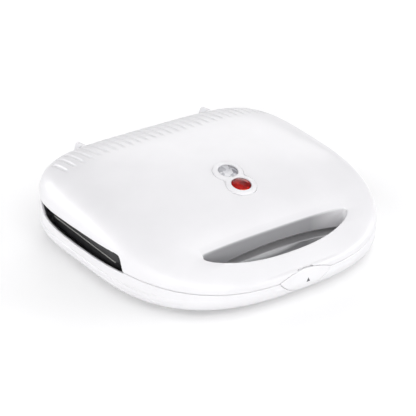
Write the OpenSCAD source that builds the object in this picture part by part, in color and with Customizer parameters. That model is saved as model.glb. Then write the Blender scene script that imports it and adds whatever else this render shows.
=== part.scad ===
// Sandwich toaster: a hinged clamshell with two non-stick plates, an open
// handle in the front of the lid, a press latch and two indicator lights.
// Front is -Y, up is +Z, and the origin lies on the worktop under the middle.

/* [Body] */
// Width across the shells
body_w = 242; // [232:1:252]
// Front of the handle, forward of the origin
front_reach = 117; // [115:0.5:122]
// Back of the shells, behind the origin
back_reach = 114; // [111:0.5:118]
// Roundness of the front half of the plan outline
front_round = 2.7; // [2.5:0.05:3]
// Roundness of the back half of the plan outline
back_round = 4.7; // [4.3:0.1:6]
// How much the sides draw in towards the front
side_taper = 0.02; // [0:0.005:0.04]
// Wall of both shells
wall = 2.4; // [2:0.1:2.8]

/* [Lid] */
// Height of the parting line in front, above the worktop
part_z = 20.5; // [20:0.1:21.5]
// Rise of the parting line from the front to the sides
part_rise = 7; // [6:0.1:7.4]
// Height above the worktop from which the lid's dome swells
dome_z = 23; // [22.5:0.1:24]
// Rise of the dome over that height
dome_h = 46.5; // [44:0.5:52]
// Rise of the handle bar over that height
bar_h = 9; // [8.5:0.25:11]
// Backward lean of the crown
crown_tilt = 0.16; // [0:0.01:0.18]
// Distance from the front of the handle to the foot of the front slope
slope_inset = 3.5; // [1:0.5:5]
// Where the front slope begins on the crown
slope_high_y = 7.5; // [0:0.5:12]
// Number of vent grooves over the back shoulder
groove_count = 27; // [9:2:31]
// Distance between vent grooves
groove_pitch = 7.6; // [6.5:0.1:7.8]
// Width of a vent groove
groove_w = 3; // [1.5:0.1:3.4]
// Depth of a vent groove
groove_depth = 0.9; // [0.5:0.1:1.2]

/* [Handle] */
// Half length of the finger opening
grip_half_w = 69.5; // [66:0.5:72]
// Distance from the front of the handle to the back edge of the finger opening
grip_inset = 38.5; // [37:0.5:40]
// Depth of the finger opening, back to front
grip_d = 21.5; // [19:0.5:22]
// Depth of the finger recess in the base
recess_depth = 11; // [8:0.5:12]

/* [Plates] */
// Space between the ends of the plates and the outside of the shells
plate_margin = 7.75; // [7:0.25:9]
// Length of the cooking plates, front to back
plate_d = 125; // [121:0.5:126]
// Middle of the plates, behind the origin
plate_y = 18; // [16:0.5:20]
// Height at which the two plates meet
plate_z = 27.5; // [27.4:0.1:28]
// Thickness of the plates' metal
plate_t = 2.4; // [2:0.1:2.6]
// Depth of the sandwich pockets
pocket_depth = 8; // [6:0.25:8.25]
// Flat land between the pockets and the ends of the plates
plate_land = 9.25; // [8.5:0.25:11]
// Width of the ridges between the pockets
ridge_w = 8; // [7.5:0.25:9]
// Radius of the heating tubes
tube_r = 3.2; // [2.8:0.1:3.3]

/* [Hinge and latch] */
// Distance of the hinge axis behind the back of the shells
hinge_out = 0.9; // [0.5:0.1:2]
// Height of the hinge axis
hinge_z = 17.5; // [17:0.1:18]
// Radius of the hinge pins
hinge_pin_r = 2.5; // [2:0.1:2.7]
// Distance of each hinge from the middle
hinge_x = 63; // [56:0.5:70]
// Height of the top of the hinge fins
fin_top_z = 63.5; // [60:0.5:65]
// Half width of the latch button
latch_half_w = 24; // [20:0.5:28]
// Rise of the latch button over the parting line
latch_up = 7.5; // [6:0.25:8]
// Reach of the latch button below the parting line
latch_down = 5; // [4:0.25:5.5]

/* [Lights] */
// Place of the middle of the two lights
lights_y = -25; // [-29:0.5:-22]
// Distance between the lights
lights_pitch = 18.25; // [18:0.25:21]
// Radius of a light's lens
lens_r = 7.8; // [7:0.1:8.2]
// Radius of the soft bezel round each light
bezel_r = 12.4; // [11.5:0.1:13]

/* [Feet and lead] */
// Height of the feet under the base
foot_h = 4.5; // [4:0.1:5]
// Radius of a foot
foot_r = 8; // [6:0.25:9]
// Radius of the hole for the mains lead
lead_r = 3.6; // [3:0.1:3.8]

/* [Hidden] */

// Places and widths that follow the shells
plate_w = body_w - 2 * plate_margin;
slice_w = (plate_w - ridge_w) / 2 - plate_land;
hinge_y = back_reach + hinge_out;
grip_back_y = grip_inset - front_reach;
slope_low_y = slope_inset - front_reach;
tall = 100;

// Running, seating and free gaps between pieces
pin_fit = 0.05;
seat = 0.3;
part_gap = 0.4;
plate_gap = 0.4;
eps = 0.01;

// Plan outline: a superellipse, rounder in front, whose sides taper forward
plan_c = (back_reach - front_reach) / 2;
plan_b = (back_reach + front_reach) / 2;
plan_a = body_w / 2 + 0.5;
widest_y = 50;
plan_steps = 60;
dome_steps = 9;
inner_steps = 6;
hole_sides = 10;
groove_level = 0.92;
groove_front_y = plate_y + 45;
shoulder_p = 2.2;
shoulder_q = 4.8;
slope_power = 0.88;
part_run = 82;

function roundness(s) = s < 0 ? front_round : back_round;
function widen(y) = 1 + side_taper * (y - widest_y) / plan_a;
function ray(a) = let (n = roundness(sin(a)))
    pow(pow(abs(cos(a)) / plan_a, n) + pow(abs(sin(a)) / plan_b, n), -1 / n);
function free_point(a, r) = let (y = r * sin(a) + plan_c) [r * cos(a) * widen(y), y];
plan_fit = body_w / 2 / max([for (i = [0:plan_steps - 1])
    let (a = i * 360 / plan_steps) free_point(a, ray(a))[0]]);
function plan_point(a, r) = let (p = free_point(a, r)) [p[0] * plan_fit, p[1]];
function plan_level(x, y) = let (n = roundness(y - plan_c), v = x / widen(y) / plan_fit)
    pow(pow(abs(v) / plan_a, n) + pow(abs(y - plan_c) / plan_b, n), 1 / n);

// Height of the parting line: it climbs from the front and runs level past the sides
function part_h(y) = part_z + part_rise * sin(90 * clamp((y + front_reach - 4) / part_run, 0, 1));

// Height of the lid's skin
function clamp(v, lo, hi) = max(lo, min(hi, v));
function rise(y) =
    let (u = clamp((y - slope_low_y) / (slope_high_y - slope_low_y), 0, 1))
    (bar_h + (dome_h - bar_h) * sin(90 * pow(u, slope_power)))
        * (1 + crown_tilt * (y - plan_c) / plan_b);
function lid_z(x, y) = dome_z + rise(y)
    * pow(1 - pow(min(1, plan_level(x, y)), shoulder_p), 1 / shoulder_q);
function lid_slope(y) = atan2(lid_z(0, y + 5) - lid_z(0, y - 5), 10);

// A closed skin through rings of points, each ring with the same count
module ring_skin(rings) {
    n = len(rings[0]);
    m = len(rings);
    polyhedron(
        points = [for (ring = rings) for (p = ring) p],
        faces = concat(
            [[for (i = [0:n - 1]) i]],
            [for (j = [0:m - 2]) for (i = [0:n - 1]) let (k = (i + 1) % n)
                [j * n + i, (j + 1) * n + i, j * n + k]],
            [for (j = [0:m - 2]) for (i = [0:n - 1]) let (k = (i + 1) % n)
                [j * n + k, (j + 1) * n + i, (j + 1) * n + k]],
            [[for (i = [n - 1:-1:0]) (m - 1) * n + i]]
        )
    );
}

// Rings of the plan outline, from a list of [inset, height]
function stack_rings(steps) = [for (s = steps) [for (i = [0:plan_steps - 1])
    let (a = i * 360 / plan_steps) concat(plan_point(a, ray(a) - s[0]), s[1])]];

// One ring that follows the parting line, lifted by a little or sunk
function part_ring(inset, lift) = [[for (i = [0:plan_steps - 1])
    let (a = i * 360 / plan_steps, xy = plan_point(a, ray(a) - inset))
    concat(xy, part_h(xy[1]) + lift)]];

// Rings of the lid's skin, from just over its lower edge to the crown
function dome_rings(inset, steps) = [for (j = [1:steps]) [for (i = [0:plan_steps - 1])
    let (a = i * 360 / plan_steps, q = 89.5 * pow(j / steps, 1.8),
         xy = plan_point(a, (ray(a) - inset) * pow(cos(q), 2 / shoulder_p)))
    concat(xy, dome_z + (rise(xy[1]) - inset) * pow(sin(q), 2 / shoulder_q))]];

module plan_stack(steps) {
    ring_skin(stack_rings(steps));
}

// Solid dome down to the parting line, and a column under the dome that runs lower
module dome() {
    ring_skin(concat(part_ring(0, 0), dome_rings(0, dome_steps)));
}
module dome_column(inset, steps) {
    ring_skin(concat(stack_rings([[inset, part_z - 5]]), dome_rings(inset, steps)));
}

// Outer flank of the base: inset and height of each step, from the floor up
base_floor_z = foot_h;
deck_z = part_z - part_gap;
flank = [[16, 0], [9, 0.5], [5, 1.8], [2.6, 3.8], [1.2, 6.4], [0.4, 9.4], [0, 12.5]];
function flank_steps(inset, lift) = [for (s = flank) [s[0] + inset, base_floor_z + s[1] + lift]];

// Side gaps: where the black plate edges show between the shells
gap_front_y = 73 - front_reach;
gap_back_y = back_reach - 35;
gap_low_z = part_z + part_rise - 1.3;
gap_high_z = gap_low_z + 12.1;
gap_sag = 2.4;
gap_lean = 1.2;

function gap_top(u) = gap_high_z + gap_lean * cos(180 * u);
function gap_low(u) = gap_low_z - gap_sag * sin(180 * pow(u, 1.15))
    + (gap_top(1) - gap_low_z) * pow(u, 20);
module side_gaps() {
    steps = 20;
    span = gap_back_y - gap_front_y;
    points = concat(
        [for (i = [0:steps]) let (u = i / steps)
            [gap_front_y + span * u, gap_low(u)]],
        [for (i = [steps - 1:-1:1]) let (u = pow(i / steps, 1.5))
            [gap_front_y + span * u,
             gap_low_z + (gap_top(u) - gap_low_z) * pow(min(1, u / 0.06), 0.4)]]);
    for (side = [-1, 1])
        translate([side * body_w / 2, 0, 0]) rotate([90, 0, 90])
            linear_extrude(height = 40, center = true) polygon(points);
}

// Plan of the finger opening, grown by a wall where asked
module grip_plan(grow = 0) {
    steps = 24;
    w = grip_half_w + grow;
    front = [for (i = [0:steps]) let (x = w * cos(180 * i / steps))
        [x, grip_back_y - (grip_d + grow) * pow(1 - pow(abs(x) / w, 2.3), 0.6)]];
    polygon(concat([[-w, grip_back_y + grow], [w, grip_back_y + grow]], front));
}

// Lens-shaped face of the latch button, grown by a clearance where asked
module latch_face(grow = 0) {
    w = latch_half_w + grow;
    up = latch_up + grow;
    down = latch_down + grow;
    r_up = (w * w + up * up) / (2 * up);
    r_down = (w * w + down * down) / (2 * down);
    intersection() {
        translate([0, part_z + up - r_up]) circle(r = r_up, $fn = 96);
        translate([0, part_z + r_down - down]) circle(r = r_down, $fn = 96);
    }
}

module latch_prism(grow, y0, y1) {
    translate([0, y1, 0]) rotate([90, 0, 0]) linear_extrude(height = y1 - y0) latch_face(grow);
}

// Both outer skins as one solid, for the face of the latch button
module outer_solid() {
    ring_skin(concat(stack_rings(flank_steps(0, 0)), dome_rings(0, dome_steps)));
}

module rounded_rect(w, d, r, h) {
    linear_extrude(height = h) {
        square([w - 2 * r, d], center = true);
        square([w, d - 2 * r], center = true);
        for (x = [-1, 1], y = [-1, 1])
            translate([x * (w / 2 - r), y * (d / 2 - r)]) circle(r = r, $fn = 64);
    }
}

// Places that plates, posts and screws share
slice_x = (slice_w + ridge_w + 1) / 2;
plate_screw_at = [[-slice_x, plate_y], [slice_x, plate_y], [0, plate_y + plate_d / 2 - 14]];
post_r = 4.5;
screw_r = 1.5;
head_r = 3;
head_h = 2;
tub_h = pocket_depth + plate_t;
lower_top_z = plate_z - plate_gap / 2;
tub_z = lower_top_z - tub_h;
upper_tub_z = 2 * plate_z - tub_z;
floor_top_z = base_floor_z + wall;

module base_shell() {
    color("white") resize([0, 0, 0]) difference() {
        union() {
            difference() {
                ring_skin(concat(stack_rings(flank_steps(0, 0)), part_ring(0, -part_gap)));
                difference() {
                    plan_stack(concat(flank_steps(wall, wall), [[wall, plate_z + 5]]));
                    front_deck();
                }
            }
            base_posts();
            hinge_ears();
        }
        finger_recess(0);
        side_gaps();
        latch_prism(part_gap, -front_reach - 5, latch_well_y);
        latch_slot(latch_catch_y);
        hinge_notches();
        for (p = plate_screw_at) translate([p[0], p[1], 0]) {
            cylinder(r = screw_r + 0.2, h = tub_z + 1, $fn = hole_sides);
            cylinder(r = head_r + 0.4, h = base_floor_z + 4, $fn = hole_sides);
        }
        translate([0, back_reach + 5, lead_z]) rotate([90, 0, 0])
            cylinder(r = gland_r + 0.2, h = 20, $fn = 2 * hole_sides);
        translate([0, back_reach - 5.5, lead_z]) rotate([90, 0, 0])
            cylinder(r = gland_flange_r + 0.2, h = 10, $fn = 2 * hole_sides);
        for (p = foot_at) translate([p[0], p[1], 0])
            cylinder(r = foot_stud_r + 0.2, h = 12, $fn = hole_sides);
    }
}

// Deck between the lower plate and the front rim, with the recess hung in it
deck_back_y = plate_y - plate_d / 2 - 3;
module front_deck() {
    intersection() {
        translate([-body_w / 2, -front_reach, base_floor_z])
            cube([body_w, front_reach + deck_back_y, deck_z - base_floor_z]);
        union() {
            translate([0, 0, deck_z - wall]) linear_extrude(height = wall + 2)
                square(2 * body_w, center = true);
            finger_recess(wall);
        }
    }
}

recess_c_y = grip_back_y - grip_d / 2 + 2;
module finger_recess(grow) {
    translate([0, recess_c_y, deck_z + 0.9])
        scale([grip_half_w + 2 + grow, grip_d / 2 + 5 + grow, recess_depth + grow])
            sphere(r = 1, $fn = 28);
}

module base_posts() {
    for (p = plate_screw_at) translate([p[0], p[1], base_floor_z + 1])
        cylinder(r = post_r, h = tub_z - seat - base_floor_z - 1, $fn = hole_sides);
}

// Hinge: ears on the base, arms on the lid, and a pin through each pair
knuckle_r = hinge_pin_r + 2.1;
arm_t = 5;
fin_t = 1.8;
fin_foot_z = part_z + 32;
ear_t = 4;
arm_gap = 0.4;
hinge_span = arm_t + 2 * arm_gap + 2 * ear_t;
module hinge_ears() {
    for (side = [-1, 1], ear = [-1, 1])
        translate([side * hinge_x + ear * (arm_t / 2 + arm_gap + ear_t / 2), 0, 0])
            rotate([90, 0, 90]) linear_extrude(height = ear_t, center = true) {
                translate([hinge_y, hinge_z]) circle(r = knuckle_r, $fn = 2 * hole_sides);
                translate([hinge_y - knuckle_r - 3, hinge_z - knuckle_r])
                    square([knuckle_r + 3, 2 * knuckle_r]);
            }
}

module hinge_notches() {
    for (side = [-1, 1]) translate([side * hinge_x, hinge_y, hinge_z]) rotate([0, 90, 0]) {
        cylinder(r = knuckle_r + 1, h = arm_t + 2 * arm_gap + eps, center = true, $fn = 2 * hole_sides);
        cylinder(r = hinge_pin_r + 2 * pin_fit, h = hinge_span + 1, center = true, $fn = 2 * hole_sides);
        translate([0, 0, -side * (hinge_span / 2 + 2 - eps)])
            cylinder(r = hinge_pin_r + 1.3, h = 4, center = true, $fn = 2 * hole_sides);
    }
}

module hinge_pins() {
    color("silver") for (side = [-1, 1])
        translate([side * hinge_x, hinge_y, hinge_z]) rotate([0, 90, 0]) {
            cylinder(r = hinge_pin_r, h = hinge_span + 0.6, center = true, $fn = 48);
            translate([0, 0, -side * (hinge_span / 2 + 0.9)])
                cylinder(r = hinge_pin_r + 1, h = 1.2, center = true, $fn = 48);
        }
}

module hinge_arms() {
    inner_x = hinge_x - arm_t / 2;
    low_y = hinge_y - 5;
    steps = 14;
    top_y = hinge_y - 5.4;
    skin_y = [for (i = [0:steps]) fin_root_y + (wall_y(inner_x) - fin_root_y) * i / steps];
    outline = concat(
        [[hinge_y - knuckle_r + 0.6, hinge_z + 2]],
        [[wall_y(inner_x) + seat, part_z - 0.2]],
        [for (i = [steps:-1:0]) let (z = lid_z(inner_x, skin_y[i])) if (z < fin_top_z - 0.5)
            [skin_y[i] + seat, z + seat]],
        [[fin_root_y, fin_top_z], [top_y, fin_top_z - 1.3], [hinge_y - 3.6, fin_top_z - 3],
         [hinge_y + 1.2, dome_z + 27], [hinge_y + knuckle_r - 1, hinge_z + 8],
         [hinge_y + knuckle_r, hinge_z]]
    );
    color("white") for (side = [-1, 1]) difference() {
        union() {
            translate([side * hinge_x, 0, 0]) rotate([90, 0, 90]) {
                linear_extrude(height = fin_t, center = true) polygon(outline);
                linear_extrude(height = arm_t, center = true) intersection() {
                    polygon(outline);
                    translate([0, hinge_z]) square([tall * 2, fin_foot_z - hinge_z]);
                }
            }
            translate([side * hinge_x, hinge_y, hinge_z]) rotate([0, 90, 0])
                cylinder(r = knuckle_r, h = arm_t, center = true, $fn = 48);
        }
        translate([side * hinge_x, hinge_y, hinge_z]) rotate([0, 90, 0])
            cylinder(r = hinge_pin_r + pin_fit, h = arm_t + 2, center = true, $fn = 48);
        for (z = arm_screw_z) translate([side * hinge_x, hinge_y + 0.4, z]) rotate([90, 0, 0])
            cylinder(r = 1.1 + pin_fit, h = 20, $fn = 24);
    }
}

// Back wall of the lid at a distance from the middle
function wall_y(x) = plan_c + plan_b * pow(1 - pow(x / plan_a, back_round), 1 / back_round);
fin_root_y = hinge_y - 16;
arm_screw_z = [dome_z + 9, dome_z + 20];

module hinge_arm_screws() {
    color("silver") for (side = [-1, 1], z = arm_screw_z)
        translate([side * hinge_x, 0, z]) rotate([-90, 0, 0]) {
            y_in = wall_y(hinge_x + arm_t) - wall - 2.2 - (z > dome_z + 12 ? 1.2 : 0);
            translate([0, 0, y_in]) cylinder(r = 1.1, h = hinge_y - y_in - 0.6, $fn = 24);
            translate([0, 0, y_in - 1.4]) cylinder(r = 2.4, h = 1.4, $fn = 24);
        }
}

// Cooking plate with four three-cornered pockets; the lower one faces up
module pocket(corner, other_x, other_y) {
    inset = ridge_w / 2;
    deep = pocket_depth * 0.55;
    c = [[corner[0], corner[1]], [other_x, corner[1]], [corner[0], other_y]];
    sx = sign(other_x - corner[0]);
    sy = sign(other_y - corner[1]);
    r = 5;
    diag = inset * 1.42 + r * 2.42;
    pts = [[c[0][0] + sx * r, c[0][1] + sy * r],
           [c[1][0] - sx * diag, c[1][1] + sy * r],
           [c[2][0] + sx * r, c[2][1] - sy * diag]];
    mid = [c[0][0] + sx * (r + deep + 2), c[0][1] + sy * (r + deep + 2)];
    hull() {
        for (p = pts) translate([p[0], p[1], 0]) cylinder(r = r, h = 1, $fn = 32);
        for (p = pts) translate([p[0] + (mid[0] - p[0]) * 0.14, p[1] + (mid[1] - p[1]) * 0.14, -pocket_depth])
            cylinder(r = r - 1.5, h = 1, $fn = 32);
    }
}

module plate_body() {
    slice_d = plate_d - 19;
    skirt_h = 7;
    y0 = plate_y - slice_d / 2;
    y1 = plate_y + slice_d / 2;
    difference() {
        union() {
            translate([0, plate_y, -plate_t]) rounded_rect(plate_w, plate_d, 20, plate_t);
            translate([0, plate_y, -skirt_h]) difference() {
                rounded_rect(plate_w, plate_d, 20, skirt_h);
                translate([0, 0, -1]) rounded_rect(plate_w - 4, plate_d - 4, 18, skirt_h + 2);
            }
            translate([0, plate_y, -tub_h])
                rounded_rect(2 * slice_x + slice_w + 5, slice_d + 5, 8, tub_h);
        }
        for (side = [-1, 1]) {
            near = side * (slice_x - slice_w / 2);
            far = side * (slice_x + slice_w / 2);
            pocket([far, y0], near, y1);
            pocket([near, y1], far, y0);
        }
    }
}

module lower_plate() {
    color("dimgray") difference() {
        translate([0, 0, lower_top_z]) plate_body();
        for (p = plate_screw_at) translate([p[0], p[1], tub_z - 1])
            cylinder(r = screw_r + 0.05, h = 8, $fn = 24);
    }
}

module upper_plate() {
    color("dimgray") difference() {
        translate([0, 0, 2 * plate_z - lower_top_z]) mirror([0, 0, 1]) plate_body();
        for (p = plate_screw_at) translate([p[0], p[1], plate_z]) {
            cylinder(r = screw_r + 0.1, h = tub_h + 2, $fn = 24);
            cylinder(r = head_r + 0.2, h = head_h + 0.8, $fn = 32);
        }
    }
}

// Heating tube: a loop under the pockets with its ends together at the back
loop_x = slice_x + slice_w * 0.27;
loop_front_y = plate_y - plate_d * 0.32;
loop_back_y = plate_y + plate_d * 0.31;
end_x = 14;
end_y = loop_back_y + 12;
bend_r = 12;
module tube_line(a, b, r = tube_r) {
    d = b - a;
    translate([a[0], a[1], 0]) rotate([0, 90, atan2(d[1], d[0])]) cylinder(r = r, h = norm(d), $fn = 32);
}
module tube_bend(c, from) {
    translate([c[0], c[1], 0]) rotate([0, 0, from])
        rotate_extrude(angle = 90, $fn = 64) translate([bend_r, 0]) circle(r = tube_r, $fn = 32);
}
module heating_loop() {
    for (side = [0, 1]) mirror([side, 0, 0]) {
        tube_line([0, loop_front_y], [loop_x - bend_r, loop_front_y]);
        tube_bend([loop_x - bend_r, loop_front_y + bend_r], 270);
        tube_line([loop_x, loop_front_y + bend_r], [loop_x, loop_back_y - bend_r]);
        tube_bend([loop_x - bend_r, loop_back_y - bend_r], 0);
        tube_line([loop_x - bend_r, loop_back_y], [end_x + bend_r, loop_back_y]);
        tube_bend([end_x + bend_r, loop_back_y + bend_r], 180);
    }
}
lower_tube_z = tub_z - seat - tube_r;
upper_tube_z = 2 * plate_z - lower_tube_z;
module lower_heating_element() {
    color("darkgray") translate([0, 0, lower_tube_z]) heating_loop();
}
module upper_heating_element() {
    color("darkgray") translate([0, 0, upper_tube_z]) heating_loop();
}

// Ceramic beads and terminal pins on the tube ends
module insulators() {
    for (side = [-1, 1]) translate([side * end_x, end_y + seat, 0]) rotate([-90, 0, 0]) {
        cylinder(r = tube_r, h = 5, $fn = 32);
        translate([0, 0, 5]) cylinder(r = 1.2, h = 5, $fn = 24);
    }
}
module lower_element_insulators() {
    color("ivory") translate([0, 0, lower_tube_z]) insulators();
}
module upper_element_insulators() {
    color("ivory") translate([0, 0, upper_tube_z]) insulators();
}

// Spring-steel saddles that hold the tube against the plate
clip_w = 8;
clip_t = 0.8;
module clips(up) {
    for (side = [-1, 1], y = [plate_y - 12, plate_y + 12])
        translate([side * loop_x, y, 0]) rotate([90, 0, 0]) difference() {
            union() {
                cylinder(r = tube_r + 0.9, h = clip_w, center = true, $fn = 48);
                translate([0, up * (tube_r - clip_t / 2), 0])
                    cube([6 * tube_r, clip_t, clip_w], center = true);
            }
            cylinder(r = tube_r + 0.1, h = clip_w + 2, center = true, $fn = 48);
            translate([0, up * (tube_r + clip_w / 2), 0]) cube([30, clip_w, 10], center = true);
        }
}
module lower_element_clips() {
    color("silver") translate([0, 0, lower_tube_z]) clips(1);
}
module upper_element_clips() {
    color("silver") translate([0, 0, upper_tube_z]) clips(-1);
}

// Thin bright trays that keep the heat off the shells
shield_t = 0.6;
module shield() {
    difference() {
        translate([0, plate_y, 0]) rounded_rect(2 * loop_x + 26, plate_d - 30, 10, shield_t);
        for (p = plate_screw_at) translate([p[0], p[1], -1])
            cylinder(r = post_r + 0.5, h = 3, $fn = 32);
    }
}
lower_shield_z = lower_tube_z - tube_r - 0.9 - seat - shield_t;
module lower_heat_shield() {
    color("gainsboro") translate([0, 0, lower_shield_z]) shield();
}
module upper_heat_shield() {
    color("gainsboro") translate([0, 0, 2 * plate_z - lower_shield_z - shield_t]) shield();
}

module lower_plate_screws() {
    color("silver") for (p = plate_screw_at) translate([p[0], p[1], base_floor_z + 4 + 0.1 - head_h]) {
        cylinder(r = head_r, h = head_h - 0.15, $fn = 32);
        cylinder(r = screw_r, h = tub_z + 5.5 - base_floor_z - 4 + head_h, $fn = 24);
    }
}
module upper_plate_screws() {
    top = 2 * plate_z - lower_top_z;
    color("silver") for (p = plate_screw_at) translate([p[0], p[1], top + 0.4]) {
        cylinder(r = head_r, h = head_h, $fn = 32);
        cylinder(r = screw_r, h = tub_h + 9, $fn = 24);
    }
}

module thermostat() {
    color("dimgray") translate([-28, plate_y, tub_z - seat]) mirror([0, 0, 1]) {
        cylinder(r = 8, h = 2, $fn = 48);
        cylinder(r = 6.5, h = 5.4, $fn = 48);
        for (side = [-1, 1]) translate([side * 8.5, 0, 3.4]) cube([7, 4, 0.8], center = true);
    }
}

module thermal_fuse() {
    color("silver") translate([28, plate_y, tub_z - seat - 2.2]) rotate([0, 90, 0]) {
        cylinder(r = 2.2, h = 12, center = true, $fn = 32);
        cylinder(r = 0.6, h = 26, center = true, $fn = 24);
    }
}

// Lead gland, terminal block and the wires inside the base
lead_z = 14.2;
gland_r = 5.6;
gland_flange_r = 6.4;
block_at = [-34, back_reach - 22.5, floor_top_z + 0.2];
module lead_gland() {
    color("white") translate([0, back_reach + 2.6, lead_z]) rotate([90, 0, 0]) difference() {
        union() {
            cylinder(r = gland_r, h = 11, $fn = 48);
            translate([0, 0, 8.4]) cylinder(r = gland_flange_r, h = 2.6, $fn = 48);
        }
        translate([0, 0, -1]) cylinder(r = lead_r, h = 13, $fn = 48);
    }
}
module terminal_block() {
    color("ivory") translate(block_at) difference() {
        translate([-13, -6, 0]) cube([26, 12, 10]);
        for (x = [-8, 8]) translate([x, 0, 3]) rotate([90, 0, 0])
            cylinder(r = 1.9, h = 14, center = true, $fn = 32);
        for (x = [-8, 8]) translate([x, 0, 3]) cylinder(r = 1.6, h = 8, $fn = 24);
    }
}
module terminal_block_screws() {
    color("gold") for (x = [-8, 8]) translate(block_at + [x, 0, 5.2])
        cylinder(r = 1.5, h = 4, $fn = 24);
}
function unit(v) = v / norm(v);
function heading(points, i) = let (last = len(points) - 1)
    unit(points[min(i + 1, last)] - points[max(i - 1, 0)]);
module wire(points, r) {
    sides = 8;
    ring_skin([for (i = [0:len(points) - 1])
        let (t = heading(points, i), u = unit(cross([0.1, 0.2, 1], t)), v = cross(t, u))
        [for (k = [0:sides - 1]) points[i] + r * (cos(k * 360 / sides) * u + sin(k * 360 / sides) * v)]]);
}
wire_r = 1.1;
module base_wires() {
    z = block_at[2] + 3;
    front = block_at[1] - 6;
    color("white") wire([[block_at[0] + 8, front + 4, z], [block_at[0] + 8, front - 4, z],
        [-end_x, end_y + 14, lower_tube_z - 1], [-end_x, end_y + 10.8, lower_tube_z]], wire_r);
}
module lid_wires() {
    z = upper_tube_z;
    color("white") wire([[end_x, end_y + 11.5, z], [end_x, end_y + 15, z + 4],
        [10, plate_y + 20, z + 15], [6, lights_y + 24, lid_z(0, lights_y) - 14]], wire_r);
}

foot_front = [body_w / 2 - 35, 53 - front_reach];
foot_back = [body_w / 2 - 31, back_reach - 30];
foot_at = [for (side = [-1, 1], f = [foot_front, foot_back]) [side * f[0], f[1]]];
foot_stud_r = 2.6;
module feet() {
    color("gainsboro") for (p = foot_at) translate([p[0], p[1], 0]) {
        cylinder(r1 = foot_r - 0.6, r2 = foot_r, h = foot_h, $fn = 48);
        cylinder(r = foot_stud_r, h = floor_top_z + 1.5, $fn = 32);
    }
}

// Lid
module lid_posts() {
    for (p = plate_screw_at) translate([p[0], p[1], upper_tub_z + seat])
        cylinder(r = post_r, h = dome_h, $fn = hole_sides);
    for (p = cover_screw_at) translate([p[0], p[1], cover_top_z + seat])
        cylinder(r = 3.6, h = dome_h, $fn = hole_sides);
}

// Scoops that follow the skin over the back shoulder and fade out in front
function groove_back_y(x) = plan_c + plan_b
    * pow(pow(groove_level, back_round) - pow(abs(x) / plan_a, back_round), 1 / back_round);
module vent_grooves() {
    half = (groove_count - 1) / 2;
    steps = 6;
    for (i = [-half:half]) {
        x = i * groove_pitch;
        span = groove_back_y(x) - groove_front_y;
        points = [for (j = [0:steps]) let (y = groove_front_y + span * j / steps)
            [y, lid_z(x, y) - (j == 0 ? -0.2 : groove_depth)]];
        translate([x, 0, 0]) rotate([90, 0, 90])
            linear_extrude(height = groove_w, center = true)
                polygon(concat(points, [[groove_front_y + span, tall], [groove_front_y, tall]]));
    }
}

bezel_seat = 3.4;
module at_lights() {
    translate([0, lights_y, lid_z(0, lights_y)]) rotate([lid_slope(lights_y), 0, 0]) children();
}
module two_lights(r, h, sides = 64) {
    for (side = [-1, 1]) translate([0, side * lights_pitch / 2, 0])
        cylinder(r = r, h = h, $fn = sides);
}

// Low arch under the wall behind the finger opening
arch_low_z = dome_z + 5.5;
arch_high_z = dome_z + 12.5;
module grip_arch() {
    steps = 24;
    w = grip_half_w - 4;
    points = concat([[w, part_z - 2], [-w, part_z - 2]],
        [for (i = [0:steps]) let (u = -1 + 2 * i / steps)
            [w * u, arch_low_z + (arch_high_z - arch_low_z) * (1 - u * u)]]);
    translate([0, grip_back_y + wall + 1, 0]) rotate([90, 0, 0])
        linear_extrude(height = wall + 3) polygon(points);
}

module lid_shell() {
    color("white") resize([0, 0, 0]) difference() {
        union() {
            difference() {
                dome();
                difference() {
                    dome_column(wall, inner_steps);
                    linear_extrude(height = tall) grip_plan(wall);
                }
            }
            intersection() {
                lid_posts();
                dome_column(wall / 2, inner_steps);
            }
        }
        translate([0, 0, part_z - 2]) linear_extrude(height = tall) grip_plan();
        grip_arch();
        side_gaps();
        latch_prism(part_gap, -front_reach - 5, latch_well_y);
        vent_grooves();
        at_lights() translate([0, 0, -8]) two_lights(bezel_r + 0.25, 20, 3 * hole_sides);
        at_lights() for (side = [-1, 1]) translate([side * holder_screw_x, 0, -8])
            cylinder(r = 1.3, h = 7, $fn = hole_sides);
        for (p = plate_screw_at) translate([p[0], p[1], upper_tub_z])
            cylinder(r = screw_r + 0.1, h = 12, $fn = hole_sides);
        for (p = cover_screw_at) translate([p[0], p[1], cover_top_z])
            cylinder(r = 1.3, h = 7, $fn = hole_sides);
        for (side = [-1, 1], z = arm_screw_z) translate([side * hinge_x, back_reach + 5, z])
            rotate([90, 0, 0]) cylinder(r = 1.5, h = 30, $fn = hole_sides);
    }
}

module light_bezel() {
    color("white") at_lights() translate([0, 0, -2.2]) difference() {
        union() {
            two_lights(bezel_r, bezel_seat - 0.8);
            translate([0, 0, bezel_seat - 0.8 - eps]) for (side = [-1, 1])
                translate([0, side * lights_pitch / 2, 0])
                    cylinder(r1 = bezel_r, r2 = bezel_r - 1.6, h = 0.8, $fn = 64);
        }
        translate([0, 0, -1]) two_lights(lens_r + 0.15, 8);
    }
}

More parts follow.
